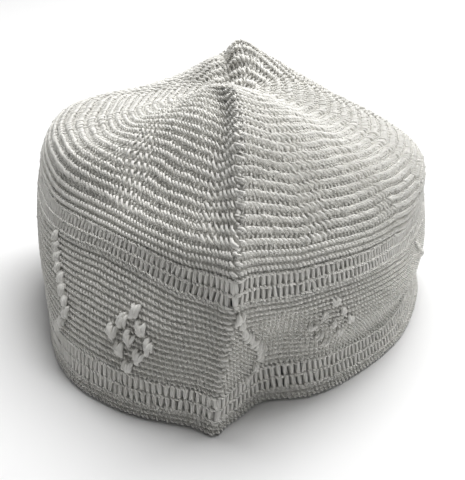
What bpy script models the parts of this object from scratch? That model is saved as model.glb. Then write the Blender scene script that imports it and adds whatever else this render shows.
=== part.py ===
"""Crochet kufi cap: a brimless round cap of knotted cotton, standing open on its rim.

The cap was folded in quarters and opened again, so it stands as a soft, four-sided form: a sharp
upright crease runs down the front to a narrow nose, a second peak stands behind, and the crown
dips between the two. From the middle of the crown down it is worked in five zones, and each is
one solid here: the ridged crown, the upper openwork, the plain side band, the lower openwork and
the rim edge.

The whole cloth is one surface. A place on it is given by its level, the length of cloth from the
middle of the crown down to it, and by its stitch angle, 0 at the front crease and growing to the
right. The rows of stitches don't lie level on the slumped form: they step up and down at the ten
spokes of the crown, and the drift table says how far. Sizes in the tables are millimetres. X is to the right, Y away, Z up, and the
rim stands on Z = 0.
"""
import math
from typing import NamedTuple

import bmesh
import bpy
import numpy as np

MM = 0.001

# Cloth lengths from the middle of the crown to the lower end of each zone
RIDGES_END = 98.0
CROWN_END = 111.0
UPPER_OPENWORK_END = 123.0
BAND_END = 164.0
LOWER_OPENWORK_END = 176.0
RIM_END = 183.0
HEM_START = 181.0

# Cloth, seams and stitches
WALL = 2.0
SEAM_GAP = 0.8
RINGS = 21
RING_PITCH = RIDGES_END / RINGS
RING_RELIEF = 1.5
PLAIN_ROW = 105.6
RELIEF_START = 8.0
RELIEF_FULL = 28.0
SEAM_ROW = 1.2
CHAIN_HEIGHT = 1.6
WINDOWS_ROUND = 30
WINDOW_SHARE = 0.62

# Plan place of the axis that the reaches are measured from
AXIS_X = 2.5
AXIS_Y = 18.4

# Mesh density: columns of facets round half of the cap, and how much they crowd at the creases
HALF_COLUMNS = 20
CROWDING = 0.32
FINE_STEPS = 48
COARSE_RINGS = 6

# Steps of the table of points that the form is read from: cloth length and stitch angle
FORM_STEP = 1.0
FORM_ANGLE = 1.0

# Plan angle of the eight upright section lines, from the front round by the right
STATION_ANGLES = (0.0, 38.0, 74.0, 118.0, 180.0, 242.0, 286.0, 322.0)


class Section(NamedTuple):
    """One level of the cloth: how far it stands from the axis and how high, at each station."""

    level: float
    front: tuple
    front_right: tuple
    right: tuple
    back_right: tuple
    back: tuple
    back_left: tuple
    left: tuple
    front_left: tuple
    crease_shift: float


# Each pair is (reach from the axis, height above the rim); crease_shift leans the front crease in X
SECTIONS = (
    Section(0, (0, 104), (0, 104), (0, 104), (0, 104), (0, 104), (0, 104), (0, 104), (0, 104), -2),
    Section(12, (19, 115), (14, 111), (13, 107), (14, 109), (13, 111), (13, 107), (12, 107),
            (13, 112), -1),
    Section(24, (33, 119.5), (27, 110), (25, 104), (28, 107), (26, 120), (26, 104), (23, 105.5),
            (19, 113), 2),
    Section(40, (49, 116), (42, 105), (42, 97), (48, 98), (40, 115), (41, 98.5), (34, 101),
            (28, 110.5), 5),
    Section(56, (64, 110), (56, 96), (58, 89), (66, 89), (51, 106), (56, 94.5), (44.5, 97),
            (38, 106.5), 7),
    Section(72, (76, 99.5), (67, 86), (72, 79), (83, 80), (59, 97), (71, 91), (55.5, 92),
            (49, 98.5), 8),
    Section(90, (90, 86), (77, 73), (81, 64), (98, 68), (66, 86), (94, 84), (75, 85), (65, 84), 8.5),
    Section(108, (102, 72), (83, 60), (81, 48), (101, 56), (70, 72), (106, 70), (85, 65),
            (81, 68), 8),
    Section(120, (103, 60), (85, 50), (83.5, 39), (102, 46), (72, 60), (107, 58), (89, 54),
            (86, 57), 7),
    Section(142, (105, 39), (88, 33), (87, 28), (101, 31), (73, 40), (105, 38), (92, 36),
            (94, 37), 4),
    Section(164, (106.5, 17.5), (84, 16), (83, 15.5), (97, 16), (73, 18), (101, 18), (91, 17),
            (99, 17), 1),
    Section(176, (107.5, 6.5), (86, 5.5), (85.5, 5), (99, 5.5), (73, 6), (99, 6), (90, 6),
            (100.5, 6), 0),
    Section(183, (108, 0), (87.5, 0), (87, 0), (100, 0), (73, 0), (98, 0), (90, 0), (101, 0), -1),
)


class Fold(NamedTuple):
    """A ridge or a groove in the cloth, along a line that may lean from one angle to another."""

    name: str
    top_angle: float
    bottom_angle: float
    top_level: float
    bottom_level: float
    outward: float
    width: float


FOLDS = (
    Fold("front pleat", 0, 0, 20, RIM_END, 2.0, 5),
    Fold("groove left of the crease", -24, -11, 22, 98, -4.0, 9),
    Fold("notch right of the nose", 17, 17, 130, RIM_END, -7.5, 14),
    Fold("bulge left of the nose", -14, -20, 120, RIM_END, 3.0, 20),
    Fold("back pleat", 180, 180, 14, 80, 2.5, 6),
    Fold("groove beside the back peak", 198, 192, 4, 40, -5.0, 5),
)


class Drift(NamedTuple):
    """How far the rows at some levels lie below their even place (minus: above), at one angle."""

    angle: float
    at_20: float
    at_37: float
    at_51: float
    at_65: float
    at_80: float
    at_98: float
    at_111: float
    at_123: float
    at_164: float
    at_176: float


DRIFT_LEVELS = (0, 20, 37, 51, 65, 80, 98, 111, 123, 164, 176, HEM_START)

DRIFTS = (
    Drift(-105, 0, 0, 0, 0, 0, 0, 0, 0, 0, 0),
    Drift(-80, 2, 4, 5, 5, 3, -1, -2, -3, -1, 0),
    Drift(-52, 4.5, 9, 11, 8.5, 6.5, 0, -2, -4, 0, 0),
    Drift(-40, 4.5, 9, 11.5, 9, 5, 1, -1.5, -5, -1, 0),
    Drift(-30, 4.5, 9, 11, 10, 7, 2.5, -0.5, -3.5, -0.5, 0),
    Drift(-15, 3, 6.5, 9.5, 9, 6.5, 3.5, 2.5, 1, 0, 0),
    Drift(-2, 0.5, 1, 1, 1, 1, 1, 1.5, 1.5, 0, 0),
    Drift(4, 0, 0, 0, 0, 0, 0, 0, 0, 0, 0),
    Drift(18, 0, 0.5, 0.5, 0.5, 0.5, 0, 0, 0, 0, 0),
    Drift(29, -1, -2, -2.5, -3, -3.5, -4, -2.5, -3, -1.5, -0.5),
    Drift(44, -2, -4.5, -5.5, -6, -6, -6.5, -5, -5.5, 0, 1),
    Drift(60, -2, -3.5, -4, -6, -8, -11, -9, -8.5, 3, 2.5),
    Drift(80, -1.5, -2.5, -3, -4, -5.5, -7, -6, -6, 2, 2),
    Drift(110, 0, 0, 0, 0, 0, 0, 0, 0, 0, 0),
)


class Zone(NamedTuple):
    """One piece of the cap: the stretch of cloth that it covers and the colour of its yarn."""

    name: str
    top: float
    bottom: float
    colour: tuple
    roughness: float


ZONES = (
    Zone("crown", 0.0, CROWN_END, (0.72, 0.715, 0.68), 0.92),
    Zone("upper_openwork", CROWN_END, UPPER_OPENWORK_END, (0.70, 0.695, 0.66), 0.94),
    Zone("side_band", UPPER_OPENWORK_END, BAND_END, (0.68, 0.675, 0.64), 0.93),
    Zone("lower_openwork", BAND_END, LOWER_OPENWORK_END, (0.70, 0.695, 0.66), 0.94),
    Zone("rim_edge", LOWER_OPENWORK_END, RIM_END, (0.73, 0.725, 0.69), 0.92),
)


def smooth_through(places, knots, values):
    """Cubic curve through the values at the knots, read at the places; it doesn't overshoot."""
    knots = np.asarray(knots, float)
    values = np.asarray(values, float)
    spans = np.diff(knots)
    wide = (-1,) + (1,) * (values.ndim - 1)
    rises = np.diff(values, axis=0) / spans.reshape(wide)
    share = (spans[1:] / (spans[:-1] + spans[1:])).reshape(wide)
    slopes = np.empty_like(values)
    slopes[1:-1] = rises[:-1] * share + rises[1:] * (1 - share)
    slopes[0] = rises[0]
    slopes[-1] = rises[-1]
    places = np.clip(places, knots[0], knots[-1])
    low = np.clip(np.searchsorted(knots, places, side="right") - 1, 0, len(spans) - 1)
    t = ((places - knots[low]) / spans[low]).reshape(wide)
    span = spans[low].reshape(wide)
    start = (2 * t**3 - 3 * t**2 + 1) * values[low] + (t**3 - 2 * t**2 + t) * span * slopes[low]
    end = (3 * t**2 - 2 * t**3) * values[low + 1] + (t**3 - t**2) * span * slopes[low + 1]
    return start + end


def station_points():
    """Points of the sections table in space: levels by stations by XYZ."""
    pairs = np.array([section[1:9] for section in SECTIONS], float)
    lean = np.array([section.crease_shift for section in SECTIONS], float)
    angles = np.radians(STATION_ANGLES)
    x = AXIS_X + pairs[..., 0] * np.sin(angles) + lean[:, None] * np.maximum(np.cos(angles), 0) ** 2
    y = AXIS_Y - pairs[..., 0] * np.cos(angles)
    return np.stack([x, y, pairs[..., 1]], axis=-1)


STATION_POINTS = station_points()
LEVELS = np.array([section.level for section in SECTIONS], float)


def ring(level):
    """The closed curve of cloth at one level, as fine points and the stitch angle of each."""
    stations = smooth_through(np.array([level]), LEVELS, STATION_POINTS)[0]
    closed = np.vstack([stations, stations[:1]])
    chords = np.linalg.norm(np.diff(closed[:, :2], axis=0), axis=1)
    knots = np.concatenate([[0.0], np.cumsum(chords**0.75)])
    places = [np.linspace(a, b, FINE_STEPS, endpoint=False) for a, b in zip(knots[:-1], knots[1:])]
    points = smooth_through(np.concatenate(places + [knots[-1:]]), knots, closed)
    lengths = np.concatenate([[0.0], np.cumsum(np.linalg.norm(np.diff(points, axis=0), axis=1))])
    half = lengths[4 * FINE_STEPS]
    back_part = 180 + (lengths - half) / (lengths[-1] - half) * 180
    angles = np.where(lengths <= half, lengths / half * 180, back_part)
    return points, angles, lengths[-1]


def form_table():
    """Points of the unfolded form at even cloth lengths and stitch angles, and each ring's girth."""
    angles = np.arange(0, 360, FORM_ANGLE)
    rows = [np.tile(STATION_POINTS[0].mean(axis=0), (len(angles), 1))]
    girths = [0.0]
    for length in np.arange(FORM_STEP, RIM_END + FORM_STEP / 2, FORM_STEP):
        points, ring_angles, girth = ring(length)
        rows.append(np.stack([np.interp(angles, ring_angles, points[:, k]) for k in range(3)], -1))
        girths.append(girth)
    return np.array(rows), np.array(girths)


FORM, GIRTHS = form_table()


def plain_points(lengths, angles):
    """Points of the unfolded form, one for each cloth length and stitch angle."""
    row = np.clip(lengths / FORM_STEP, 0, len(FORM) - 1.001)
    column = np.mod(angles, 360) / FORM_ANGLE
    low = row.astype(int)
    left = column.astype(int) % FORM.shape[1]
    right = (left + 1) % FORM.shape[1]
    down = (row - low)[:, None]
    across = (column - np.floor(column))[:, None]
    upper = FORM[low, left] * (1 - across) + FORM[low, right] * across
    lower = FORM[low + 1, left] * (1 - across) + FORM[low + 1, right] * across
    return upper * (1 - down) + lower * down


def row_drift(level, angles):
    """How far a row of stitches lies below its even place, for each stitch angle."""
    turns = [drift.angle for drift in DRIFTS]
    depths = [np.interp(level, DRIFT_LEVELS, (0, *drift[1:], 0)) for drift in DRIFTS]
    return np.interp(angles, turns, depths, period=360)


def fold_depth(lengths, angles):
    """How far the folds push the cloth out, for each cloth length and stitch angle."""
    girths = np.interp(lengths, np.arange(len(GIRTHS)) * FORM_STEP, GIRTHS)
    depth = np.zeros(len(angles))
    for fold in FOLDS:
        t = (lengths - fold.top_level) / (fold.bottom_level - fold.top_level)
        inside = (t >= 0) & (t <= 1)
        fade = np.sin(math.pi * np.clip(t, 0, 1)) ** 0.7
        if fold.bottom_level >= RIM_END:
            fade = np.clip(t / 0.3, 0, 1)
        centre = fold.top_angle + (fold.bottom_angle - fold.top_angle) * t
        off = (np.mod(angles - centre + 180, 360) - 180) / 360 * girths
        depth += inside * fold.outward * fade * np.exp(-((off / fold.width) ** 2))
    return depth


def rib_depth(level):
    """How far a crown ring stands out at one level: a ridge at each ring, a valley between."""
    rise = max(level - RELIEF_START, 0.0) / (RELIEF_FULL - RELIEF_START)
    fall = max(RIDGES_END + RING_PITCH - level, 0.0) / RING_PITCH
    return min(1.0, rise, fall) * RING_RELIEF / 2 * math.cos(2 * math.pi * level / RING_PITCH)


def cloth_points(level, angles):
    """Points of the outer face of the cloth at one level, folds and ribs included, in mm."""
    angles = np.asarray(angles, float)
    if level <= 0.0:
        return np.tile(FORM[0, 0], (len(angles), 1))
    hem = min(level, HEM_START)
    lengths = hem + row_drift(hem, angles)
    step = FORM_STEP / 2
    above = plain_points(np.maximum(lengths - step, 0.2), angles)
    below = plain_points(lengths + step, angles)
    before = plain_points(lengths, angles - FORM_ANGLE)
    after = plain_points(lengths, angles + FORM_ANGLE)
    normal = np.cross(below - above, after - before)
    if level >= HEM_START:
        normal[:, 2] = 0.0
    normal /= np.linalg.norm(normal, axis=1)[:, None]
    depth = fold_depth(lengths, angles) + rib_depth(level)
    out = plain_points(lengths, angles) + normal * depth[:, None]
    if level >= HEM_START:
        out[:, 2] = RIM_END - level
    return out


def plain_columns():
    """Stitch angles of the facet columns: close together at the creases, wider at the sides."""
    t = np.arange(HALF_COLUMNS + 1) / HALF_COLUMNS
    half = 180 * (t - CROWDING * np.sin(2 * math.pi * t) / (2 * math.pi))
    return np.concatenate([half, 360 - half[-2::-1]])


def openwork_columns():
    """Stitch angles of the openwork's uprights, and for each cell if it is a window."""
    pitch = 360 / WINDOWS_ROUND
    reach = pitch * (1 - WINDOW_SHARE) / 2
    angles = []
    windows = []
    for number in range(WINDOWS_ROUND):
        centre = number * pitch
        angles.append(centre - reach)
        if number in (0, WINDOWS_ROUND // 2):
            angles.append(centre)
            windows.append(False)
        angles.append(centre + reach)
        windows += [False, True]
    return np.array(angles + [360 - reach]), windows


def wall_mesh(name, levels, columns, windows=None, open_rows=()):
    """Outer face of one zone: a grid laid on the cloth, its two ends joined into a ring."""
    rows = len(levels) - 1
    count = len(columns) - 1
    face = np.array([cloth_points(level, columns) for level in levels]) * MM
    bm = bmesh.new()
    bmesh.ops.create_grid(bm, x_segments=count, y_segments=rows, size=1.0)
    place = {}
    for vert in bm.verts:
        column = round((vert.co.x + 1) / 2 * count)
        row = rows - round((vert.co.y + 1) / 2 * rows)
        place[vert] = (row, column)
    if windows:
        spent = []
        for cell in bm.faces:
            row = min(place[vert][0] for vert in cell.verts)
            column = min(place[vert][1] for vert in cell.verts)
            if row in open_rows and windows[column]:
                spent.append(cell)
        bmesh.ops.delete(bm, geom=spent, context="FACES")
    for vert, (row, column) in place.items():
        if vert.is_valid:
            vert.co = face[row][column]
    if levels[0] <= 0.0:
        thin_out(bm, place, count)
    bmesh.ops.remove_doubles(bm, verts=bm.verts, dist=1e-5)
    mesh = bpy.data.meshes.new(name)
    bm.to_mesh(mesh)
    bm.free()
    return mesh


def thin_out(bm, place, count):
    """Halve the number of columns in the innermost rings, where they would be very narrow."""
    spot = {where: vert for vert, where in place.items()}
    target = {}
    for (row, column), vert in spot.items():
        if row < 2 * COARSE_RINGS and column % 2 == 1:
            target[vert] = spot[(row, column - 1)]
    bmesh.ops.weld_verts(bm, targetmap=target)


def yarn(zone):
    """Dull cotton yarn of one zone."""
    material = bpy.data.materials.new(f"{zone.name}_cotton")
    material.use_nodes = True
    shader = material.node_tree.nodes["Principled BSDF"]
    shader.inputs["Base Color"].default_value = (*zone.colour, 1.0)
    shader.inputs["Roughness"].default_value = zone.roughness
    shader.inputs["Metallic"].default_value = 0.0
    material.diffuse_color = (*zone.colour, 1.0)
    return material


def add_zone(zone, mesh, collection):
    """Put one zone's cloth into the cap: the outer face thickened inwards."""
    mesh.materials.append(yarn(zone))
    mesh.shade_smooth()
    mesh.set_sharp_from_angle(angle=math.radians(50))
    body = bpy.data.objects.new(zone.name, mesh)
    collection.objects.link(body)
    wall = body.modifiers.new("cloth", "SOLIDIFY")
    wall.thickness = WALL * MM
    wall.offset = -1.0
    wall.use_even_offset = True
    wall.use_quality_normals = True
    return body


def zone_levels(zone):
    """Cloth levels of the rows of one zone, with its share of the seams taken off its ends."""
    top = zone.top + (SEAM_GAP / 2 if zone.top > 0 else 0.0)
    bottom = zone.bottom - (SEAM_GAP / 2 if zone.bottom < RIM_END else 0.0)
    if zone.name == "crown":
        valleys_and_ridges = np.arange(1, 2 * RINGS + 2) / 2 * RING_PITCH
        return np.concatenate([[0.0], valleys_and_ridges, [PLAIN_ROW, bottom]])
    if zone.name.endswith("openwork"):
        hole = (bottom - top - 3 * CHAIN_HEIGHT) / 2
        steps = (CHAIN_HEIGHT, hole, CHAIN_HEIGHT, hole, CHAIN_HEIGHT)
        return top + np.concatenate([[0.0], np.cumsum(steps)])
    if zone.name == "rim_edge":
        return np.array([top, top + SEAM_ROW, HEM_START, bottom])
    rows = np.linspace(top + SEAM_ROW, bottom - SEAM_ROW, 6)
    return np.concatenate([[top], rows, [bottom]])


def main():
    """Build the five zones of the cap."""
    for old in list(bpy.data.objects):
        bpy.data.objects.remove(old, do_unlink=True)
    collection = bpy.data.collections.new("crochet_kufi_cap")
    bpy.context.scene.collection.children.link(collection)
    uprights, windows = openwork_columns()
    for zone in ZONES:
        levels = zone_levels(zone)
        if zone.name.endswith("openwork"):
            mesh = wall_mesh(zone.name, levels, uprights, windows, open_rows=(1, 3))
        else:
            mesh = wall_mesh(zone.name, levels, plain_columns())
        add_zone(zone, mesh, collection)


main()
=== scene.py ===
"""Crochet kufi cap: the finished look of the cap, stitch by stitch, on the form of its solids.

The cloth is one surface. A place on it is a level, the length of cloth from the middle of the crown
down to it, and a stitch angle, 0 at the front crease and growing to the right. The rows don't lie
level on the slumped form: they step up and down at the ten spokes of the crown. Every stitch is a
few short runs of cotton yarn, modelled once and then worked round the cloth, row after row.
Table sizes are millimetres; X is to the right, Y away and Z up, and the rim stands on Z = 0.
"""

import logging
import math
from dataclasses import dataclass, field
from enum import Enum
from typing import NamedTuple

import bpy
import numpy as np
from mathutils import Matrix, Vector


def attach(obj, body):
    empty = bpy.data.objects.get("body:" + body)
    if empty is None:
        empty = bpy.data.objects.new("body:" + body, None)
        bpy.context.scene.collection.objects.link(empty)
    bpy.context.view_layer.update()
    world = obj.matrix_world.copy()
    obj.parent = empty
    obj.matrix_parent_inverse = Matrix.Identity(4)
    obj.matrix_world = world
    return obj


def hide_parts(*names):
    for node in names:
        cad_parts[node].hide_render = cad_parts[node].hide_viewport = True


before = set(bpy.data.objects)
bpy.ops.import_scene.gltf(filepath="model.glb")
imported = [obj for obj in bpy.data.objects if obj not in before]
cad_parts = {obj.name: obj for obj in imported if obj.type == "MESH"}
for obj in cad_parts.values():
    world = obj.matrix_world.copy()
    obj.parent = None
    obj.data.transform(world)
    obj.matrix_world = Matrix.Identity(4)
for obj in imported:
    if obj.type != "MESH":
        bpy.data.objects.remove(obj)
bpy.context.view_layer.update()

LOG = logging.getLogger("kufi_cap")
MM = 0.001


class Level(float, Enum):
    """Cloth levels, in mm from the middle of the crown, where one zone ends and the next begins."""

    RIDGES_END = 98.0
    CROWN_END = 111.0
    UPPER_OPENWORK_END = 123.0
    BAND_END = 164.0
    LOWER_OPENWORK_END = 176.0
    HEM_START = 181.0
    RIM_END = 183.0


class Section(NamedTuple):
    """One level of the cloth: (reach from the axis, height above the rim) at each station."""

    level: float
    front: tuple
    front_right: tuple
    right: tuple
    back_right: tuple
    back: tuple
    back_left: tuple
    left: tuple
    front_left: tuple
    crease_shift: float


class Fold(NamedTuple):
    """A ridge or a groove in the cloth, along a line that may lean from one angle to another."""

    name: str
    top_angle: float
    bottom_angle: float
    top_level: float
    bottom_level: float
    outward: float
    width: float


class Drift(NamedTuple):
    """How far the rows at some levels lie below their even place (minus: above), at one angle."""

    angle: float
    at_20: float
    at_37: float
    at_51: float
    at_65: float
    at_80: float
    at_98: float
    at_111: float
    at_123: float
    at_164: float
    at_176: float


class Spoke(NamedTuple):
    """One spoke: its stitch angle at some cloth levels, and the width of its band of stitches."""

    at_30: float
    at_60: float
    at_72: float
    at_85: float
    at_98: float
    width: float


SPOKE_LEVELS = (30, 60, 72, 85, 98)

SPOKES = (
    Spoke(-97, -93, -91, -90, -90, 12),
    Spoke(-66, -58, -50, -43, -40.5, 13),
    Spoke(-14, -10.5, -9, -7.5, -6, 19),
    Spoke(24, 24, 24, 24, 24, 14),
    Spoke(53, 53, 53, 53, 53, 14),
    Spoke(88, 88, 88, 88, 88, 12),
    Spoke(124, 124, 124, 124, 124, 12),
    Spoke(160, 160, 160, 160, 160, 12),
    Spoke(196, 196, 196, 196, 196, 12),
    Spoke(232, 232, 232, 232, 232, 12),
)

DRIFT_LEVELS = (0, 20, 37, 51, 65, 80, 98, 111, 123, 164, 176, 181)

DRIFTS = (
    Drift(-105, 0, 0, 0, 0, 0, 0, 0, 0, 0, 0),
    Drift(-80, 2, 4, 5, 5, 3, -1, -2, -3, -1, 0),
    Drift(-52, 4.5, 9, 11, 8.5, 6.5, 0, -2, -4, 0, 0),
    Drift(-40, 4.5, 9, 11.5, 9, 5, 1, -1.5, -5, -1, 0),
    Drift(-30, 4.5, 9, 11, 10, 7, 2.5, -0.5, -3.5, -0.5, 0),
    Drift(-15, 3, 6.5, 9.5, 9, 6.5, 3.5, 2.5, 1, 0, 0),
    Drift(-2, 0.5, 1, 1, 1, 1, 1, 1.5, 1.5, 0, 0),
    Drift(4, 0, 0, 0, 0, 0, 0, 0, 0, 0, 0),
    Drift(18, 0, 0.5, 0.5, 0.5, 0.5, 0, 0, 0, 0, 0),
    Drift(29, -1, -2, -2.5, -3, -3.5, -4, -2.5, -3, -1.5, -0.5),
    Drift(44, -2, -4.5, -5.5, -6, -6, -6.5, -5, -5.5, 0, 1),
    Drift(60, -2, -3.5, -4, -6, -8, -11, -9, -8.5, 3, 2.5),
    Drift(80, -1.5, -2.5, -3, -4, -5.5, -7, -6, -6, 2, 2),
    Drift(110, 0, 0, 0, 0, 0, 0, 0, 0, 0, 0),
)

STATION_ANGLES = (0.0, 38.0, 74.0, 118.0, 180.0, 242.0, 286.0, 322.0)
BACK_STATION = STATION_ANGLES.index(180.0)

SECTIONS = (
    Section(0, (0, 104), (0, 104), (0, 104), (0, 104), (0, 104), (0, 104), (0, 104), (0, 104), -2),
    Section(12, (19, 115), (14, 111), (13, 107), (14, 109), (13, 111), (13, 107), (12, 107),
            (13, 112), -1),
    Section(24, (33, 119.5), (27, 110), (25, 104), (28, 107), (26, 120), (26, 104), (23, 105.5),
            (19, 113), 2),
    Section(40, (49, 116), (42, 105), (42, 97), (48, 98), (40, 115), (41, 98.5), (34, 101),
            (28, 110.5), 5),
    Section(56, (64, 110), (56, 96), (58, 89), (66, 89), (51, 106), (56, 94.5), (44.5, 97),
            (38, 106.5), 7),
    Section(72, (76, 99.5), (67, 86), (72, 79), (83, 80), (59, 97), (71, 91), (55.5, 92),
            (49, 98.5), 8),
    Section(90, (90, 86), (77, 73), (81, 64), (98, 68), (66, 86), (94, 84), (75, 85),
            (65, 84), 8.5),
    Section(108, (102, 72), (83, 60), (81, 48), (101, 56), (70, 72), (106, 70), (85, 65),
            (81, 68), 8),
    Section(120, (103, 60), (85, 50), (83.5, 39), (102, 46), (72, 60), (107, 58), (89, 54),
            (86, 57), 7),
    Section(142, (105, 39), (88, 33), (87, 28), (101, 31), (73, 40), (105, 38), (92, 36),
            (94, 37), 4),
    Section(164, (106.5, 17.5), (84, 16), (83, 15.5), (97, 16), (73, 18), (101, 18), (91, 17),
            (99, 17), 1),
    Section(176, (107.5, 6.5), (86, 5.5), (85.5, 5), (99, 5.5), (73, 6), (99, 6), (90, 6),
            (100.5, 6), 0),
    Section(183, (108, 0), (87.5, 0), (87, 0), (100, 0), (73, 0), (98, 0), (90, 0), (101, 0), -1),
)

FOLDS = (
    Fold("front pleat", 0, 0, 20, Level.RIM_END, 2.0, 5),
    Fold("groove left of the crease", -24, -11, 22, 98, -4.0, 9),
    Fold("notch right of the nose", 17, 17, 130, Level.RIM_END, -7.5, 14),
    Fold("bulge left of the nose", -14, -20, 120, Level.RIM_END, 3.0, 20),
    Fold("back pleat", 180, 180, 14, 80, 2.5, 6),
    Fold("groove beside the back peak", 198, 192, 4, 40, -5.0, 5),
)


def smooth_through(places: np.ndarray, knots: np.ndarray, values: np.ndarray) -> np.ndarray:
    """Read a cubic curve that runs through values at its knots.

    Args:
        places: where the curve is read.
        knots: rising places of the values.
        values: one value, or row of values, for each knot.

    Returns:
        The curve's values at the places.
    """
    spans = np.diff(knots)
    wide = (-1,) + (1,) * (values.ndim - 1)
    rises = np.diff(values, axis=0) / spans.reshape(wide)
    share = (spans[1:] / (spans[:-1] + spans[1:])).reshape(wide)
    slopes = np.empty_like(values)
    slopes[1:-1] = rises[:-1] * share + rises[1:] * (1 - share)
    slopes[0] = rises[0]
    slopes[-1] = rises[-1]
    places = np.clip(places, knots[0], knots[-1])
    low = np.clip(np.searchsorted(knots, places, side="right") - 1, 0, len(spans) - 1)
    t = ((places - knots[low]) / spans[low]).reshape(wide)
    span = spans[low].reshape(wide)
    start = (2 * t**3 - 3 * t**2 + 1) * values[low] + (t**3 - 2 * t**2 + t) * span * slopes[low]
    end = (3 * t**2 - 2 * t**3) * values[low + 1] + (t**3 - t**2) * span * slopes[low + 1]
    return start + end


def turn_from(start: np.ndarray | float, angles: np.ndarray) -> np.ndarray:
    """Return the turn from a start to each angle, from -180 to 180 degrees."""
    return np.mod(angles - start + 180, 360) - 180


def triangle_count(piece: bpy.types.Object) -> int:
    """Count the triangles that a piece's faces come to.

    Args:
        piece: a mesh object.

    Returns:
        The number of triangles.
    """
    corners = np.empty(len(piece.data.polygons), np.int32)
    piece.data.polygons.foreach_get("loop_total", corners)
    return int((corners - 2).sum())


@dataclass
class Cloth:
    """The soft form of the cap, as a fine lattice of places and outward directions."""

    axis_x: float = 2.5
    axis_y: float = 18.4
    level_step: float = 0.5
    columns: int = 720
    fine_steps: int = 48
    chord_power: float = 0.75
    fade_power: float = 0.7
    rim_fold_fade: float = 0.3
    inside_the_edge: float = 1.001
    least_length: float = 1e-12
    points: np.ndarray = field(init=False)
    normals: np.ndarray = field(init=False)
    girths: np.ndarray = field(init=False)

    def __post_init__(self) -> None:
        """Work out the lattice from the sections, the folds and the drift of the rows."""
        levels = np.arange(0.0, Level.RIM_END + self.level_step / 2, self.level_step)
        angles = np.arange(self.columns) * 360.0 / self.columns
        base = np.stack([self._ring(level, angles) for level in levels])
        girths = np.linalg.norm(np.diff(base, axis=1, append=base[:, :1]), axis=-1).sum(axis=1)
        out = self._outward(base)
        depth = np.stack([self._fold_depth(v, angles, g) for v, g in zip(levels, girths)])
        points = base + out * depth[..., None]
        points = self._drifted(points, levels, angles)
        # The hem falls straight down, so that the whole rim stands on the surface.
        hem = round(Level.HEM_START / self.level_step)
        points[hem:, :, :2] = points[hem, :, :2]
        points[hem:, :, 2] = (Level.RIM_END - levels[hem:])[:, None]
        self.points = points
        self.normals = self._outward(points)
        self.girths = girths

    def _stations(self) -> np.ndarray:
        """Place the sections table in space.

        Returns:
            Points in mm: levels by stations by XYZ.
        """
        pairs = np.array([section[1:9] for section in SECTIONS], float)
        lean = np.array([section.crease_shift for section in SECTIONS], float)
        turn = np.radians(STATION_ANGLES)
        x = self.axis_x + pairs[..., 0] * np.sin(turn)
        x = x + lean[:, None] * np.maximum(np.cos(turn), 0) ** 2
        y = self.axis_y - pairs[..., 0] * np.cos(turn)
        return np.stack([x, y, pairs[..., 1]], axis=-1)

    def _ring(self, level: float, angles: np.ndarray) -> np.ndarray:
        """Read the unfolded form round one level.

        Args:
            level: cloth level in mm.
            angles: stitch angles in degrees.

        Returns:
            One point in mm for each stitch angle.
        """
        rows = np.array([section.level for section in SECTIONS], float)
        stations = smooth_through(np.array([level]), rows, self._stations())[0]
        if level <= 0.0:
            return np.tile(stations.mean(axis=0), (len(angles), 1))
        closed = np.vstack([stations, stations[:1]])
        chords = np.linalg.norm(np.diff(closed[:, :2], axis=0), axis=1)
        knots = np.concatenate([[0.0], np.cumsum(chords**self.chord_power)])
        spans = zip(knots[:-1], knots[1:])
        places = [np.linspace(a, b, self.fine_steps, endpoint=False) for a, b in spans]
        curve = smooth_through(np.concatenate(places + [knots[-1:]]), knots, closed)
        steps = np.linalg.norm(np.diff(curve, axis=0), axis=1)
        lengths = np.concatenate([[0.0], np.cumsum(steps)])
        # The angles are shared out by length on each side, so that 180 stays at the back crease.
        half = lengths[BACK_STATION * self.fine_steps]
        back_part = 180 + (lengths - half) / (lengths[-1] - half) * 180
        turned = np.where(lengths <= half, lengths / half * 180, back_part)
        return np.stack([np.interp(angles, turned, curve[:, k]) for k in range(3)], axis=-1)

    def _fold_depth(self, level: float, angles: np.ndarray, girth: float) -> np.ndarray:
        """Find how far the folds push the cloth out at one level.

        Args:
            level: cloth level in mm.
            angles: stitch angles in degrees.
            girth: length of cloth round the cap at the level, in mm.

        Returns:
            The depth in mm at each stitch angle, minus for inwards.
        """
        depth = np.zeros(len(angles))
        for fold in FOLDS:
            if not fold.top_level <= level <= fold.bottom_level:
                continue
            t = (level - fold.top_level) / (fold.bottom_level - fold.top_level)
            fade = max(math.sin(math.pi * t), 0.0) ** self.fade_power
            if fold.bottom_level >= Level.RIM_END:
                fade = min(t / self.rim_fold_fade, 1.0)
            centre = fold.top_angle + (fold.bottom_angle - fold.top_angle) * t
            off = turn_from(centre, angles) / 360 * girth
            depth += fold.outward * fade * np.exp(-((off / fold.width) ** 2))
        return depth

    def _drifted(self, points: np.ndarray, levels: np.ndarray, angles: np.ndarray) -> np.ndarray:
        """Slide the rows up and down the form, by the drift table.

        Args:
            points: lattice of points by even levels.
            levels: the lattice's levels.
            angles: the lattice's stitch angles.

        Returns:
            The lattice by rows of stitches.
        """
        turns = [drift.angle for drift in DRIFTS]
        column = np.arange(len(angles))
        made = np.empty_like(points)
        for row, level in enumerate(levels):
            depths = [np.interp(level, DRIFT_LEVELS, (0, *drift[1:], 0)) for drift in DRIFTS]
            lengths = level + np.interp(angles, turns, depths, period=360)
            place = np.clip(lengths / self.level_step, 0, len(levels) - self.inside_the_edge)
            low = place.astype(int)
            down = (place - low)[:, None]
            made[row] = points[low, column] * (1 - down) + points[low + 1, column] * down
        return made

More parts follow.
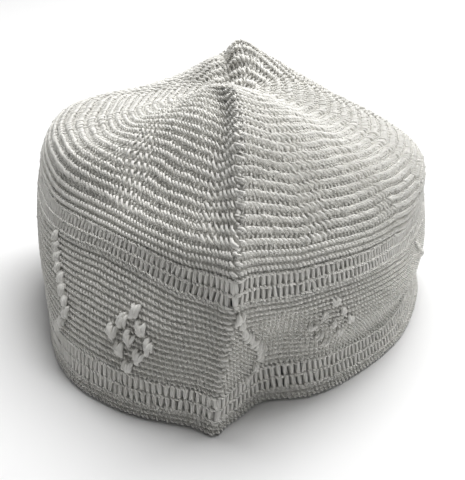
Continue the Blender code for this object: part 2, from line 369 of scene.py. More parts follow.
    def _outward(self, points: np.ndarray) -> np.ndarray:
        """Find the directions that point out of the cloth.

        Args:
            points: a lattice of points. Its first row is one point, the middle of the crown, so it
                takes the mean direction of the three rows after it.

        Returns:
            Unit directions, one for each point.
        """
        down = np.gradient(points, axis=0)
        across = np.roll(points, -1, axis=1) - np.roll(points, 1, axis=1)
        out = np.cross(down, across)
        out[0] = out[1:4].mean(axis=(0, 1))
        lengths = np.linalg.norm(out, axis=-1, keepdims=True)
        return out / np.maximum(lengths, self.least_length)

    def _read(self, lattice: np.ndarray, row: np.ndarray, column: np.ndarray) -> np.ndarray:
        """Read a lattice between its four nearest places.

        Args:
            lattice: rows by columns by XYZ.
            row: places down the rows.
            column: places round the columns.

        Returns:
            The XYZ there, with one more axis than the places.
        """
        above = row.astype(int)
        left = column.astype(int) % self.columns
        right = (left + 1) % self.columns
        down = (row - above)[..., None]
        along = (column - np.floor(column))[..., None]
        upper = lattice[above, left] * (1 - along) + lattice[above, right] * along
        lower = lattice[above + 1, left] * (1 - along) + lattice[above + 1, right] * along
        return upper * (1 - down) + lower * down

    def girth(self, levels: np.ndarray | float) -> np.ndarray | float:
        """Return the length of cloth round the cap at some levels, in mm."""
        return np.interp(levels, np.arange(len(self.girths)) * self.level_step, self.girths)

    def degree(self, level: float) -> float:
        """Return the length of cloth that one degree takes at a level, in mm."""
        return float(self.girth(level)) / 360

    def place(self, levels: np.ndarray, angles: np.ndarray, heights: np.ndarray) -> np.ndarray:
        """Find points on, above or under the cloth.

        Args:
            levels: cloth levels in mm.
            angles: stitch angles in degrees.
            heights: distances out of the cloth in mm.

        Returns:
            The points in metres, with one more axis than the arguments.
        """
        row = np.clip(levels / self.level_step, 0, len(self.girths) - self.inside_the_edge)
        column = np.mod(angles, 360) / 360 * self.columns
        points = self._read(self.points, row, column)
        outward = self._read(self.normals, row, column)
        return (points + outward * heights[..., None]) * MM


@dataclass(frozen=True)
class CottonYarn:
    """Dull white cotton yarn: soft, matt, with a faint fuzz and slightly uneven whiteness, whose
    darker end also paints shade on the backing cloth.
    """

    name: str
    colour: tuple = (0.80, 0.79, 0.755)
    # The darker end of the whiteness ramp: random darker stitches and patches lean to it, and the
    # backing cloth's low tone takes it as painted shade.
    shade: tuple = (0.70, 0.69, 0.65)
    shade_until: float = 0.1
    colour_from: float = 0.75
    roughness: float = 0.92
    gloss: float = 0.25
    sheen: float = 0.25
    sheen_roughness: float = 0.5
    depth_weight: float = 0.5
    depth: float = 0.0012
    patch_scale: float = 45.0
    patch_detail: float = 3.0
    patch_share: float = 0.5
    fibre_scale: float = 2600.0
    fibre_detail: float = 2.0
    fibre_bump: float = 0.35
    fibre_height: float = 0.0002

    def material(self) -> bpy.types.Material:
        """Make the yarn's material, once.

        Returns:
            The material.
        """
        found = bpy.data.materials.get(self.name)
        if found:
            return found
        material = bpy.data.materials.new(self.name)
        material.use_nodes = True
        tree = material.node_tree
        shader = tree.nodes["Principled BSDF"]
        shader.subsurface_method = "BURLEY"
        settings = {
            "Roughness": self.roughness,
            "Specular IOR Level": self.gloss,
            "Sheen Weight": self.sheen,
            "Sheen Roughness": self.sheen_roughness,
            "Subsurface Weight": self.depth_weight,
            "Subsurface Radius": (1.0, 1.0, 1.0),
            "Subsurface Scale": self.depth,
        }
        for setting, value in settings.items():
            shader.inputs[setting].default_value = value
        tree.links.new(self._whiteness(tree), shader.inputs["Base Color"])
        tree.links.new(self._fuzz(tree), shader.inputs["Normal"])
        return material

    def _whiteness(self, tree: bpy.types.NodeTree) -> bpy.types.NodeSocket:
        """Add the nodes of the uneven whiteness: soft patches, the stitches' own random tones, and
        the backing cloth's low tone, which is painted shade.

        Args:
            tree: the material's nodes.

        Returns:
            The output with the colour.
        """
        patches = self._noise(tree, self.patch_scale, self.patch_detail)
        # Each point's tone: random on the stitches, low and even on the backing cloth as painted
        # shade.
        tone_and_shade = tree.nodes.new("ShaderNodeAttribute")
        tone_and_shade.attribute_name = "tone_and_shade"
        both = tree.nodes.new("ShaderNodeMath")
        both.operation = "MULTIPLY_ADD"
        both.inputs[1].default_value = self.patch_share
        tree.links.new(patches, both.inputs[0])
        tree.links.new(tone_and_shade.outputs["Fac"], both.inputs[2])
        ramp = tree.nodes.new("ShaderNodeValToRGB")
        low, high = ramp.color_ramp.elements
        low.position = self.shade_until
        low.color = (*self.shade, 1)
        high.position = self.colour_from
        high.color = (*self.colour, 1)
        tree.links.new(both.outputs["Value"], ramp.inputs["Fac"])
        return ramp.outputs["Color"]

    def _fuzz(self, tree: bpy.types.NodeTree) -> bpy.types.NodeSocket:
        """Add the nodes of the fine bumps that the fibres make.

        Args:
            tree: the material's nodes.

        Returns:
            The output with the bumped normal.
        """
        fibres = self._noise(tree, self.fibre_scale, self.fibre_detail)
        bump = tree.nodes.new("ShaderNodeBump")
        bump.inputs["Strength"].default_value = self.fibre_bump
        bump.inputs["Distance"].default_value = self.fibre_height
        tree.links.new(fibres, bump.inputs["Height"])
        return bump.outputs["Normal"]

    @staticmethod
    def _noise(tree: bpy.types.NodeTree, scale: float, detail: float) -> bpy.types.NodeSocket:
        """Add a noise that reads a piece's Object coordinates.

        Args:
            tree: the material's nodes.
            scale: how fine the noise is.
            detail: how many finer layers it has.

        Returns:
            The output with the noise.
        """
        where = tree.nodes.new("ShaderNodeTexCoord")
        noise = tree.nodes.new("ShaderNodeTexNoise")
        noise.inputs["Scale"].default_value = scale
        noise.inputs["Detail"].default_value = detail
        tree.links.new(where.outputs["Object"], noise.inputs["Vector"])
        return noise.outputs["Fac"]

    def dress(self, piece: bpy.types.Object, tones: np.ndarray) -> None:
        """Give a piece this yarn, and ride it on the cap's body.

        Args:
            piece: a mesh object.
            tones: a tone for each of its points; the backing cloth's low one paints shade.
        """
        tone_and_shade = piece.data.attributes.new("tone_and_shade", "FLOAT", "POINT")
        tone_and_shade.data.foreach_set("value", tones.astype(np.float32))
        piece.data.materials.append(self.material())
        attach(piece, "root")


class Roundness(Enum):
    """How many sides a run of yarn has: its curve's bevel resolution."""

    SQUARE = 0
    SIX_SIDED = 1


@dataclass
class YarnShape:
    """A modelled run of yarn: points in mm and faces."""

    points: np.ndarray
    faces: list


@dataclass(frozen=True)
class YarnRun:
    """A short run of yarn in a stitch, along points (right, towards the crown, out) in mm."""

    name: str
    path: tuple
    thickness: float
    tip: float = 0.7
    roundness: Roundness = Roundness.SQUARE
    merge_distance: float = 0.0001

    def model(self) -> YarnShape:
        """Model the run once, as a bevelled curve made into a mesh.

        Returns:
            The run's points in mm and its faces.
        """
        bpy.ops.object.select_all(action="DESELECT")
        bpy.ops.curve.primitive_bezier_curve_add(location=(0, 0, 0))
        line = bpy.context.object
        line.name = self.name
        curve = line.data
        curve.splines.clear()
        spline = curve.splines.new("POLY")
        spline.points.add(len(self.path) - 1)
        for number, (point, place) in enumerate(zip(spline.points, self.path)):
            point.co = (*place, 1.0)
            at_tip = number in (0, len(self.path) - 1)
            point.radius = self.tip if at_tip else 1.0
        curve.dimensions = "3D"
        curve.bevel_depth = self.thickness / 2
        curve.bevel_resolution = self.roundness.value
        curve.use_fill_caps = True
        bpy.ops.object.convert(target="MESH")
        bpy.ops.object.mode_set(mode="EDIT")
        bpy.ops.mesh.select_all(action="SELECT")
        bpy.ops.mesh.remove_doubles(threshold=self.merge_distance)
        bpy.ops.mesh.normals_make_consistent(inside=False)
        bpy.ops.object.mode_set(mode="OBJECT")
        run = bpy.context.object
        points = np.array([vert.co for vert in run.data.vertices], float)
        faces = [tuple(face.vertices) for face in run.data.polygons]
        bpy.data.objects.remove(run, do_unlink=True)
        return YarnShape(points, faces)


@dataclass
class Needlework:
    """Stitches worked on the cloth and joined into one piece."""

    name: str
    cloth: Cloth
    yarn: CottonYarn
    seed: int
    lean: float = 1.2
    swell: float = 0.7
    most_swell: float = 0.2
    rise: float = 0.6
    tone_range: float = 0.6
    least_girth: float = 6.0
    points: list = field(default_factory=list)
    loops: list = field(default_factory=list)
    sizes: list = field(default_factory=list)
    tones: list = field(default_factory=list)
    count: int = 0

    def work(self, shape: YarnShape, levels: np.ndarray, angles: np.ndarray, lift: float = 0.0,
             scale: float = 1.0, stretch: np.ndarray | float = 1.0, wobble: float = 0.1) -> None:
        """Lay one run of yarn at many places.

        Args:
            shape: the run of yarn.
            levels: cloth level of each copy's middle.
            angles: stitch angle of each copy's middle.
            lift: height of the copies above the cloth, in mm.
            scale: size of the copies.
            stretch: how much wider each copy is along its row.
            wobble: how far copies stray at random, in mm; they rise, lean and swell with it.
        """
        chance = np.random.default_rng(self.seed + self.count)
        copies = len(levels)
        stray = chance.normal(0.0, wobble, (3, copies, 1))
        lean = chance.normal(0.0, wobble * self.lean, (copies, 1))
        swell = chance.normal(0.0, wobble * self.swell, (copies, 1))
        sizes = scale * (1 + np.clip(swell, -self.most_swell, self.most_swell))
        stretch = np.broadcast_to(stretch, copies)[:, None]
        x = shape.points[None, :, 0] * sizes * stretch + stray[0]
        x = x + shape.points[None, :, 1] * lean
        y = shape.points[None, :, 1] * sizes + stray[1]
        z = shape.points[None, :, 2] * sizes + stray[2] * self.rise + lift
        level = levels[:, None] - y
        girth = np.maximum(self.cloth.girth(levels), self.least_girth)[:, None]
        angle = angles[:, None] + x * 360 / girth
        placed = self.cloth.place(level, angle, z)
        each = len(shape.points)
        corners = np.concatenate([np.array(face) for face in shape.faces])
        face_sizes = np.array([len(face) for face in shape.faces])
        starts = self.count + np.arange(copies)[:, None] * each
        self.points.append(placed.reshape(-1, 3))
        self.loops.append((corners[None, :] + starts).ravel())
        self.sizes.append(np.tile(face_sizes, copies))
        self.tones.append(np.repeat(chance.uniform(0.0, self.tone_range, copies), each))
        self.count += copies * each

    def piece(self) -> bpy.types.Object:
        """Join the copies into one mesh object.

        Returns:
            The finished piece, in place.
        """
        points = np.concatenate(self.points)
        loops = np.concatenate(self.loops)
        sizes = np.concatenate(self.sizes)
        starts = np.concatenate([[0], np.cumsum(sizes)[:-1]])
        mesh = bpy.data.meshes.new(self.name)
        mesh.vertices.add(len(points))
        mesh.loops.add(len(loops))
        mesh.polygons.add(len(sizes))
        mesh.vertices.foreach_set("co", points.astype(np.float32).ravel())
        mesh.loops.foreach_set("vertex_index", loops.astype(np.int32))
        mesh.polygons.foreach_set("loop_start", starts.astype(np.int32))
        mesh.update(calc_edges=True)
        mesh.validate()
        mesh.shade_smooth()
        work = bpy.data.objects.new(self.name, mesh)
        bpy.context.scene.collection.objects.link(work)
        self.yarn.dress(work, np.concatenate(self.tones))
        return work


@dataclass
class BackingCloth:
    """The close ground of one zone, which shows between its stitches and inside the cap, in a low
    tone that paints shade there.
    """

    name: str
    cloth: Cloth
    yarn: CottonYarn
    levels: np.ndarray
    heights: np.ndarray
    columns: int = 120
    wall: float = 1.2
    # A low tone on the whiteness ramp, below the stitches' mean: painted shade between the stitches
    # and inside the cap.
    tone_and_shade: float = 0.15
    merge_distance: float = 0.00001

    def piece(self) -> bpy.types.Object:
        """Lay a grid on the cloth, close it into a ring and give it its thickness.

        Returns:
            The finished piece, in place.
        """
        rows = len(self.levels) - 1
        bpy.ops.object.select_all(action="DESELECT")
        bpy.ops.mesh.primitive_grid_add(x_subdivisions=self.columns, y_subdivisions=rows, size=2)
        ground = bpy.context.object
        ground.name = self.name
        mesh = ground.data
        mesh.name = self.name
        flat = np.array([vert.co for vert in mesh.vertices], float)
        column = np.rint((flat[:, 0] + 1) / 2 * self.columns).astype(int)
        row = rows - np.rint((flat[:, 1] + 1) / 2 * rows).astype(int)
        angles = column * 360.0 / self.columns
        placed = self.cloth.place(self.levels[row], angles, self.heights[row])
        mesh.vertices.foreach_set("co", placed.astype(np.float32).ravel())
        bpy.ops.object.mode_set(mode="EDIT")
        bpy.ops.mesh.select_all(action="SELECT")
        bpy.ops.mesh.remove_doubles(threshold=self.merge_distance)
        bpy.ops.object.mode_set(mode="OBJECT")
        wall = ground.modifiers.new("wall", "SOLIDIFY")
        wall.thickness = self.wall * MM
        wall.offset = -1.0
        bpy.ops.object.modifier_apply(modifier=wall.name)
        bpy.ops.object.shade_smooth()
        # The whole ground takes the one low tone: painted shade.
        self.yarn.dress(ground, np.full(len(mesh.vertices), self.tone_and_shade))
        return ground


class Slope(Enum):
    """How the stitches of a close round lie: steep and close, or along the row like a rope."""

    STEEP = "steep"
    ROPE = "rope"


@dataclass
class CloseRounds:
    """Plain close rounds of small stitches, as on the side band and the rim."""

    name: str
    cloth: Cloth
    yarn: CottonYarn
    top: float
    bottom: float
    rounds: int
    stitch: float = 2.1
    seed: int = 30
    slope: Slope = Slope.STEEP
    lift: float = -0.5
    row_shift: float = 0.35
    modelled_pitch: float = 2.4
    wobble: float = 0.06
    row_ground: float = -0.55
    gap_ground: float = -1.0

    def runs(self) -> list[YarnShape]:
        """Model the two runs of a stitch: a slanted dash, and the loop that fills in beside it.

        Returns:
            The two runs.
        """
        if self.slope is Slope.ROPE:
            dash = ((-0.85, 0.75, -0.2), (-0.45, 0.5, 0.6), (0.3, -0.15, 0.7), (0.75, -0.55, -0.1))
            loop = ((-0.5, -0.5, -0.5), (-0.2, -0.8, -0.2), (0.2, -1.15, -0.25), (0.4, -1.4, -0.6))
            return [YarnRun("rope", dash, 0.95, 0.6).model(), YarnRun("dip", loop, 0.7).model()]
        dash = ((-0.75, 0.8, -0.25), (-0.4, 0.4, 0.55), (0.15, -0.25, 0.6), (0.5, -0.7, -0.25))
        loop = ((0.1, 0.8, -0.5), (0.5, 0.4, 0.0), (0.85, -0.2, 0.0), (0.95, -0.6, -0.5))
        return [YarnRun("dash", dash, 1.0, 0.6).model(), YarnRun("loop", loop, 0.75).model()]

    def work(self, first: int, last: int, piece_name: str) -> bpy.types.Object:
        """Work some of the rounds as one piece.

        Args:
            first: number of the first round.
            last: number after the last round.
            piece_name: name of the piece.

        Returns:
            The finished piece.
        """
        runs = self.runs()
        pitch = (self.bottom - self.top) / self.rounds
        tall = pitch / self.modelled_pitch
        work = Needlework(piece_name, self.cloth, self.yarn, seed=self.seed + first)
        for number in range(first, last):
            level = self.top + (number + 0.5) * pitch
            stitches = round(float(self.cloth.girth(level)) / self.stitch)
            angles = (np.arange(stitches) + self.row_shift * number) * 360.0 / stitches
            levels = np.full(stitches, level)
            for run in runs:
                work.work(run, levels, angles, self.lift, tall, 1.0 / tall, self.wobble)
        return work.piece()

    def ground(self) -> bpy.types.Object:
        """Lay the backing cloth under the rounds, low between one round and the next.

        Returns:
            The finished piece.
        """
        levels = np.linspace(self.top, self.bottom, self.rounds * 2 + 1)
        in_a_row = np.arange(len(levels)) % 2 == 1
        heights = np.where(in_a_row, self.row_ground, self.gap_ground)
        return BackingCloth(self.name, self.cloth, self.yarn, levels, heights).piece()


class Stitches(NamedTuple):
    """Some stitches of one round: the angle of each one's middle, and its width in mm."""

    angles: np.ndarray
    widths: np.ndarray


@dataclass
class Crown:
    """The crown: ridged rounds that grow at ten spokes, and three plain rounds at the end."""

    cloth: Cloth
    yarn: CottonYarn
    rings: int = 21
    split_ring: int = 16
    flat_stitch: float = 2.0
    spoke_stitch: float = 3.0
    recess_stitch: float = 2.2
    recess_share: float = 0.55
    crest_lift: float = -0.55
    recess_lift: float = -0.8
    full_level: float = 60.0
    middle_size: float = 0.7
    size_growth: float = 0.3
    kink: float = 1.6
    kink_full_level: float = 50.0
    kink_fade: float = 20.0
    seen_turn: float = 75.0
    seen_fade: float = 25.0
    half_sector: float = 18.0
    plain_top: float = 100.9
    plain_bottom: float = 110.5
    plain_rounds: int = 3
    plain_stitch: float = 1.9
    ground_steps: int = 3
    ground_lift: float = -1.2
    ground_ridge: float = 0.35
    ground_ridge_start: float = 15.0
    ground_end_wave: float = 0.4
    plain_ground_lift: float = -0.9
    plain_ground: tuple = (99.5, 100.9, 102.5, 104.1, 105.7, 107.3, 108.9, 111.0)

    @property
    def pitch(self) -> float:
        """Return the cloth length from one ridge to the next."""
        return Level.RIDGES_END / self.rings

    def flat_runs(self) -> list[YarnShape]:
        """Model the two runs of a ridge stitch between the spokes.

        Returns:
            The two runs.
        """
        crest = ((-1.25, 1.2, 0.0), (-0.6, 0.75, 0.85), (0.45, -0.25, 1.0), (1.05, -1.0, 0.2))
        under = ((-1.2, 0.0, -0.1), (-0.6, -0.5, 0.45), (0.2, -1.3, 0.4), (0.6, -1.8, -0.2))
        return [YarnRun("flat_crest", crest, 1.25, 0.6).model(),
                YarnRun("flat_under", under, 0.95, 0.6).model()]

    def spoke_runs(self) -> list[YarnShape]:
        """Model the two runs of a ridge stitch on a spoke: longer, steeper and thicker.

        Returns:
            The two runs.
        """
        crest = ((-1.5, 1.7, -0.1), (-0.9, 1.0, 0.85), (0.1, -0.3, 1.15), (0.9, -1.4, 0.65),
                 (1.2, -1.9, -0.3))
        under = ((-1.9, 0.3, -0.5), (-1.5, -0.4, 0.1), (-0.9, -1.3, 0.1), (-0.5, -2.0, -0.3))
        return [YarnRun("spoke_crest", crest, 1.35, 0.6).model(),
                YarnRun("spoke_under", under, 0.9).model()]

    def recess_runs(self) -> list[YarnShape]:
        """Model the two short runs that show between the ridges.

        Returns:
            The two runs.
        """
        left = ((-0.75, 1.3, 0.0), (-0.4, 0.2, 0.45), (0.0, -1.2, 0.15))
        right = ((0.7, 1.0, -0.1), (0.55, 0.1, 0.1), (0.2, -1.2, 0.0))
        return [YarnRun("recess_left", left, 0.95).model(),
                YarnRun("recess_right", right, 0.6).model()]

    @staticmethod
    def spokes(level: float) -> np.ndarray:
        """Return the stitch angle of each spoke at one level."""
        return np.array([np.interp(level, SPOKE_LEVELS, spoke[:5]) for spoke in SPOKES])

    def growth(self, level: float) -> float:
        """Return how wide the spokes are at one level, as a share of their full width."""
        return min(level / self.full_level, 1.0)

    def spoke_size(self, level: float) -> float:
        """Return the size of the spoke stitches at one level."""
        return self.middle_size + self.size_growth * self.growth(level)

    @staticmethod
    def spread(start: float, span: float, stitch: float, degree: float) -> list:
        """Fill a stretch of a round with even stitches.

        Args:
            start: the stretch's first angle.
            span: the angle that it takes.
            stitch: about how wide a stitch is, in mm.
            degree: length of cloth that one degree takes, in mm.

        Returns:
            The angle of each stitch's middle, with its width in mm.
        """
        count = max(1, round(span * degree / stitch))
        step = span / count
        return [(start + (number + 0.5) * step, step * degree) for number in range(count)]

    def share(self, level: float) -> tuple[Stitches, Stitches]:
        """Share one round into flat stitches and spoke stitches.

        Args:
            level: cloth level of the round.

        Returns:
            The flat stitches between the spokes, and the spoke stitches.
        """
        degree = self.cloth.degree(level)
        middles = self.spokes(level)
        widths = np.array([spoke.width for spoke in SPOKES]) * self.growth(level)
        gaps = np.mod(np.roll(middles, -1) - middles, 360)
        crowding = min(1.0, float(((gaps * degree * 2) / (widths + np.roll(widths, -1))).min()))
        halves = widths * crowding / degree / 2
        spoke_stitch = self.spoke_stitch * self.spoke_size(level)
        flat = []
        spoke = []
        for middle, gap, half, next_half in zip(middles, gaps, halves, np.roll(halves, -1)):
            spoke += self.spread(middle - half, 2 * half, spoke_stitch, degree)
            left = gap - half - next_half
            if left * degree >= self.flat_stitch:
                flat += self.spread(middle + half, left, self.flat_stitch, degree)
        return Stitches(*np.reshape(flat, (-1, 2)).T), Stitches(*np.reshape(spoke, (-1, 2)).T)

    def bend(self, level: float, angles: np.ndarray) -> np.ndarray:
        """Find how far a ridge dips at the spokes on the far side, where no drift is known.

        Args:
            level: cloth level of the ridge.
            angles: stitch angles along it.

        Returns:
            The dip in mm at each angle, minus for a rise.
        """
        off = np.abs(turn_from(self.spokes(level), angles[:, None])).min(axis=1)
        unseen = np.clip((np.abs(turn_from(0.0, angles)) - self.seen_turn) / self.seen_fade, 0, 1)
        near_end = min(max(Level.CROWN_END - level, 0.0) / self.kink_fade, 1.0)
        swell = min(level / self.kink_full_level, 1.0) * near_end
        return self.kink * swell * unseen * (0.5 - off / self.half_sector)

    def ring(self, level: float, work: Needlework, flat_runs: list, spoke_runs: list,
             recess_runs: list) -> None:
        """Work one ridge, and the low round after it.

        Args:
            level: cloth level of the ridge.
            work: the piece that it belongs to.
            flat_runs: runs of a stitch between the spokes.
            spoke_runs: runs of a stitch on a spoke.
            recess_runs: runs of a stitch of the low round.
        """
        flat, spoke = self.share(level)
        if len(flat.angles):
            levels = level + self.bend(level, flat.angles)
            for run in flat_runs:
                work.work(run, levels, flat.angles, self.crest_lift, 1.0,
                          flat.widths / self.flat_stitch)
        levels = level + self.bend(level, spoke.angles)
        size = self.spoke_size(level)
        for run in spoke_runs:
            work.work(run, levels, spoke.angles, self.crest_lift, size,
                      spoke.widths / self.spoke_stitch / size)
        low = level + self.recess_share * self.pitch
        count = round(360 * self.cloth.degree(low) / self.recess_stitch)
        angles = np.arange(count) * 360 / count
        levels = low + self.bend(level, angles)
        for run in recess_runs:
            work.work(run, levels, angles, self.recess_lift)

    def build(self) -> list[bpy.types.Object]:
        """Work the rings in two pieces and the plain rounds in one, over their backing cloth.

        Returns:
            The crown's pieces, the backing cloth first.
        """
        runs = (self.flat_runs(), self.spoke_runs(), self.recess_runs())
        inner = Needlework("crown_inner_rings", self.cloth, self.yarn, seed=11)
        outer = Needlework("crown_outer_rings", self.cloth, self.yarn, seed=12)
        for number in range(1, self.rings + 1):
            self.ring(number * self.pitch, inner if number < self.split_ring else outer, *runs)
        plain = CloseRounds("plain_rounds", self.cloth, self.yarn, self.plain_top,
                            self.plain_bottom, self.plain_rounds, self.plain_stitch, seed=25,
                            slope=Slope.ROPE)
        edge = plain.work(0, self.plain_rounds, "crown_plain_rounds")
        ground = self.ground()
        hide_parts("crown")
        return [ground, inner.piece(), outer.piece(), edge]

    def ground(self) -> bpy.types.Object:
        """Lay the crown's backing cloth, ridged like the solid.

        Returns:
            The finished piece.
        """
        steps = np.arange(1, self.rings * self.ground_steps + 1) / self.ground_steps * self.pitch
        levels = np.concatenate([[0.0], steps, self.plain_ground])
        ridges = np.cos(2 * np.pi * levels / self.pitch)
        wave = np.where(levels < Level.RIDGES_END + 1, ridges, self.ground_end_wave)
        growth = np.clip(levels / self.ground_ridge_start, 0, 1)
        heights = self.ground_lift + self.ground_ridge * wave * growth
        heights = np.where(levels > self.plain_top, self.plain_ground_lift, heights)
        return BackingCloth("crown_ground", self.cloth, self.yarn, levels, heights).piece()


@dataclass
class Openwork:
    """Two rounds of upright bars between chain lines, with real gaps between the bars."""

    name: str
    node: str
    cloth: Cloth
    yarn: CottonYarn
    top: float
    bottom: float
    fullness: float
    seed: int
    rows: int = 2
    bars: int = 220
    bar_length: float = 6.0
    bar_lift: float = -0.6
    bar_wobble: float = 0.06
    row_shift: float = 0.3
    chain_links: int = 300
    chain_lift: float = -0.45
    top_inset: float = 0.3
    bottom_inset: float = 0.5

    def bar_runs(self) -> list[YarnShape]:
        """Model a bar: two straight runs side by side, and the run behind them.

        Returns:
            The three runs.
        """
        first = ((-0.5, 2.9, 0.0), (-0.4, 1.4, 0.45), (-0.25, -1.2, 0.4), (-0.2, -2.9, 0.0))
        second = ((0.2, 2.9, -0.1), (0.3, 1.2, 0.25), (0.4, -1.4, 0.3), (0.5, -2.9, 0.0))
        behind = ((0.0, 2.9, -0.9), (0.05, 0.0, -0.75), (0.15, -2.9, -0.9))
        return [YarnRun("bar_first", first, self.fullness, 1.0).model(),
                YarnRun("bar_second", second, 0.95 * self.fullness, 1.0).model(),
                YarnRun("bar_behind", behind, 2.0 * self.fullness, 1.0).model()]

    def chain_runs(self) -> list[YarnShape]:
        """Model one link of a chain line: two slanted runs outside and one behind them.

        Returns:
            The three runs.
        """
        upper = ((-1.0, 0.75, -0.1), (-0.45, 0.45, 0.65), (0.4, -0.05, 0.8), (1.0, -0.45, 0.1))
        lower = ((-0.9, -0.05, -0.1), (-0.3, -0.4, 0.45), (0.4, -0.75, 0.4), (0.8, -1.0, -0.2))
        inner = ((-0.95, 0.0, -0.9), (0.0, 0.05, -0.7), (0.95, 0.0, -0.9))
        return [YarnRun("link_upper", upper, 0.8).model(),
                YarnRun("link_lower", lower, 0.75).model(),
                YarnRun("link_inner", inner, 1.0, 1.0).model()]

    def build(self) -> list[bpy.types.Object]:
        """Work the bars and the chain lines as one piece.

        Returns:
            The finished piece.
        """
        work = Needlework(self.name, self.cloth, self.yarn, seed=self.seed)
        height = (self.bottom - self.top) / self.rows
        bar_runs = self.bar_runs()
        for row in range(self.rows):
            levels = np.full(self.bars, self.top + (row + 0.5) * height)
            angles = (np.arange(self.bars) + self.row_shift * row) * 360.0 / self.bars
            for run in bar_runs:
                work.work(run, levels, angles, self.bar_lift, height / self.bar_length, 1.0,
                          self.bar_wobble)
        chain_runs = self.chain_runs()
        link_angles = (np.arange(self.chain_links) + 0.5) * 360.0 / self.chain_links
        for row in range(self.rows + 1):
            levels = np.full(self.chain_links, self.top + row * height)
            levels = np.clip(levels, self.top + self.top_inset, self.bottom - self.bottom_inset)
            for run in chain_runs:
                work.work(run, levels, link_angles, self.chain_lift)
        piece = work.piece()
        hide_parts(self.node)
        return [piece]


@dataclass
class SideBand:
    """The plain side band: close rounds of small stitches."""

    cloth: Cloth
    yarn: CottonYarn
    rounds: int = 17

    def build(self) -> list[bpy.types.Object]:
        """Work the band in two pieces over its backing cloth.

        Returns:
            The band's pieces, the backing cloth first.
        """
        rounds = CloseRounds("side_band_ground", self.cloth, self.yarn, Level.UPPER_OPENWORK_END,
                             Level.BAND_END, self.rounds)
        ground = rounds.ground()
        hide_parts("side_band")
        half = self.rounds // 2
        return [ground, rounds.work(0, half, "side_band_upper_rounds"),
                rounds.work(half, self.rounds, "side_band_lower_rounds")]


@dataclass
class RimEdge:
    """The rim: a few close rounds that end the cap."""

    cloth: Cloth
    yarn: CottonYarn
    rounds: int = 3

    def build(self) -> list[bpy.types.Object]:
        """Work the rim over its backing cloth.

        Returns:
            The rim's pieces, the backing cloth first.
        """
        rounds = CloseRounds("rim_edge_ground", self.cloth, self.yarn, Level.LOWER_OPENWORK_END,
                             Level.RIM_END, self.rounds, seed=90)
        ground = rounds.ground()
        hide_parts("rim_edge")
        return [ground, rounds.work(0, self.rounds, "rim_edge_rounds")]


class Motif(Enum):
    """The bobble patterns of the side band."""

    SMALL_DIAMOND = "small diamond of nine bobbles"
    LONG_LINE = "long slanted line that turns back at its foot"


class MotifPlace(NamedTuple):
    """Where a motif is, and how large its bobbles are: a diamond's middle, or a line's top."""

    motif: Motif
    angle: float
    level: float
    relief: float


class BobblePlace(NamedTuple):
    """Where one bobble of a line is: angle and cloth length from the top of the line."""

    angle: float
    level: float


@dataclass
class Bobbles:
    """Raised bobbles, each a bunch of upright runs of yarn, set in motifs round the band."""

    cloth: Cloth
    yarn: CottonYarn
    thickness: float = 1.9
    tip: float = 0.5
    wobble: float = 0.15
    across: float = 4.8
    down: float = 5.8
    slant: float = 0.35
    places: tuple = (
        MotifPlace(Motif.LONG_LINE, -62.0, 126.0, 1.0),
        MotifPlace(Motif.SMALL_DIAMOND, -24.4, 149.5, 1.05),
        MotifPlace(Motif.LONG_LINE, 1.8, 129.0, 0.9),
        MotifPlace(Motif.SMALL_DIAMOND, 31.0, 143.5, 0.75),
        MotifPlace(Motif.LONG_LINE, 82.0, 127.0, 0.6),
        MotifPlace(Motif.SMALL_DIAMOND, 115.0, 146.0, 0.95),
        MotifPlace(Motif.LONG_LINE, 146.0, 127.0, 0.9),
        MotifPlace(Motif.SMALL_DIAMOND, 176.0, 146.0, 0.95),
        MotifPlace(Motif.LONG_LINE, 204.0, 127.0, 0.9),
        MotifPlace(Motif.SMALL_DIAMOND, 234.0, 146.0, 0.95),
        MotifPlace(Motif.LONG_LINE, 255.0, 127.0, 0.9),
    )
    line: tuple = (
        BobblePlace(0.0, 0.0),
        BobblePlace(1.4, 4.0),
        BobblePlace(3.0, 8.0),
        BobblePlace(5.0, 11.8),
        BobblePlace(7.2, 15.6),
        BobblePlace(9.4, 19.4),
        BobblePlace(11.4, 23.2),
        BobblePlace(12.6, 27.4),
        BobblePlace(11.6, 32.4),
        BobblePlace(8.8, 36.0),
    )

    def runs(self) -> list[YarnShape]:
        """Model the runs of a bobble: loops side by side, each a little apart from the next.

        Returns:
            The three runs.
        """
        made = []
        for side, out, shift in ((-1.3, 1.0, 0.5), (0.0, 1.6, -0.4), (1.3, 1.1, 0.3)):
            path = ((side * 0.7, 2.6 + shift, -0.5), (side * 0.95, 1.6 + shift, out * 0.7),
                    (side * 1.05, 0.2 + shift, out), (side * 1.0, -1.3 + shift, out * 0.65),
                    (side * 0.8, -2.5 + shift, -0.5))
            run = YarnRun("bobble_run", path, self.thickness, self.tip, Roundness.SIX_SIDED)
            made.append(run.model())
        return made

    def spots(self, place: MotifPlace) -> np.ndarray:
        """Find the bobbles of a motif.

        Args:
            place: the motif and its place.

        Returns:
            The stitch angle and cloth level of each bobble.
        """
        if place.motif is Motif.LONG_LINE:
            return np.array([place.angle, place.level]) + np.array(self.line)
        degree = self.cloth.degree(place.level)
        # A diamond is three rows of three, stood on a corner.
        steps = [(a - b, a + b - 2) for a in range(3) for b in range(3)]
        return np.array([(place.angle + (across * self.across + down * self.slant) / degree,
                          place.level + down * self.down) for across, down in steps])

    def build(self) -> list[bpy.types.Object]:
        """Set every bobble on the band.

        Returns:
            The finished piece.
        """
        work = Needlework("band_bobbles", self.cloth, self.yarn, seed=120)
        runs = self.runs()
        for place in self.places:
            spots = self.spots(place)
            for run in runs:
                work.work(run, spots[:, 1], spots[:, 0], 0.0, place.relief, 1.0, self.wobble)
        return [work.piece()]


class Lamp(NamedTuple):
    """A soft square light that shines at the cap: place and side in metres, power in watts."""

    name: str
    place: tuple
    side: float
    power: float


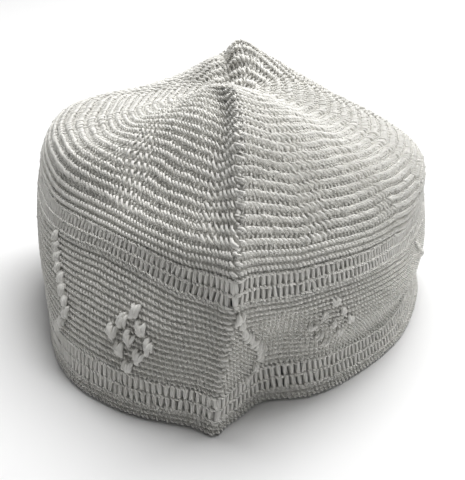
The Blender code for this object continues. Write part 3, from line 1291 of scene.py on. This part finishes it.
@dataclass
class Studio:
    """The pale floor, the soft lights and the camera."""

    aim: tuple = (2.5, 10.4, 36.0)
    azimuth: float = 4.0
    elevation: float = 27.0
    distance: float = 450.0
    focal_pixels: float = 945.0
    long_side: float = 480.0
    sensor: float = 36.0
    lit_point: tuple = (0.0, 0.0, 0.05)
    room_colour: tuple = (1.0, 1.0, 1.0, 1)
    room_light: float = 0.085
    floor_size: float = 6.0
    floor_level: float = -0.0002
    floor_colour: tuple = (0.86, 0.86, 0.86, 1)
    floor_roughness: float = 0.9
    lamps: tuple = (
        Lamp("key_from_above", (0.2, 0.42, 1.15), 1.0, 23.5),
        Lamp("fill_from_right", (1.0, -0.6, 0.6), 0.6, 0.5),
    )

    def floor(self) -> None:
        """Lay the pale floor that the cap stands on."""
        bpy.ops.object.select_all(action="DESELECT")
        bpy.ops.mesh.primitive_plane_add(size=self.floor_size, location=(0, 0, self.floor_level))
        floor = bpy.context.object
        floor.name = "pale_floor"
        bpy.ops.object.transform_apply(location=True, rotation=False, scale=False)
        paint = bpy.data.materials.new("floor_paint")
        paint.use_nodes = True
        shader = paint.node_tree.nodes["Principled BSDF"]
        shader.inputs["Base Color"].default_value = self.floor_colour
        shader.inputs["Roughness"].default_value = self.floor_roughness
        floor.data.materials.append(paint)

    def hang(self, lamp: Lamp) -> None:
        """Hang one lamp, turned to the cap.

        Args:
            lamp: the lamp's name, place, size and power.
        """
        light = bpy.data.lights.new(lamp.name, "AREA")
        light.size = lamp.side
        light.energy = lamp.power
        hung = bpy.data.objects.new(lamp.name, light)
        hung.location = lamp.place
        towards = Vector(self.lit_point) - Vector(lamp.place)
        hung.rotation_euler = towards.to_track_quat("-Z", "Y").to_euler()
        bpy.context.scene.collection.objects.link(hung)

    def room(self) -> None:
        """Give the room an even, pale light."""
        world = bpy.data.worlds.new("pale_room")
        bpy.context.scene.world = world
        world.use_nodes = True
        background = world.node_tree.nodes["Background"]
        background.inputs["Color"].default_value = self.room_colour
        background.inputs["Strength"].default_value = self.room_light
        bpy.context.scene.view_settings.view_transform = "Standard"

    def camera(self) -> None:
        """Set the camera at the photograph's angle."""
        turn = math.radians(self.azimuth)
        rise = math.radians(self.elevation)
        back = Vector((math.sin(turn) * math.cos(rise), -math.cos(turn) * math.cos(rise),
                       math.sin(rise)))
        lens = bpy.data.cameras.new("camera")
        lens.sensor_width = self.sensor
        lens.lens = self.focal_pixels / self.long_side * self.sensor
        camera = bpy.data.objects.new("camera", lens)
        camera.location = (Vector(self.aim) + back * self.distance) * MM
        camera.rotation_euler = (-back).to_track_quat("-Z", "Y").to_euler()
        bpy.context.scene.collection.objects.link(camera)
        bpy.context.scene.camera = camera

    def build(self) -> None:
        """Set up the floor, the lights and the camera."""
        self.floor()
        self.room()
        for lamp in self.lamps:
            self.hang(lamp)
        self.camera()


def main() -> None:
    """Build the cap's pieces and the room, and report them."""
    logging.basicConfig(level=logging.INFO, format="%(message)s")
    cloth = Cloth()
    yarn = CottonYarn("white_cotton_yarn")
    zones = (
        Crown(cloth, yarn),
        Openwork("upper_openwork_stitches", "upper_openwork", cloth, yarn, Level.CROWN_END,
                 Level.UPPER_OPENWORK_END, fullness=1.12, seed=60),
        SideBand(cloth, yarn),
        Bobbles(cloth, yarn),
        Openwork("lower_openwork_stitches", "lower_openwork", cloth, yarn, Level.BAND_END,
                 Level.LOWER_OPENWORK_END, fullness=1.2, seed=70),
        RimEdge(cloth, yarn),
    )
    for zone in zones:
        for piece in zone.build():
            LOG.info("%s: %d triangles", piece.name, triangle_count(piece))
    Studio().build()


if __name__ == "__main__":
    main()
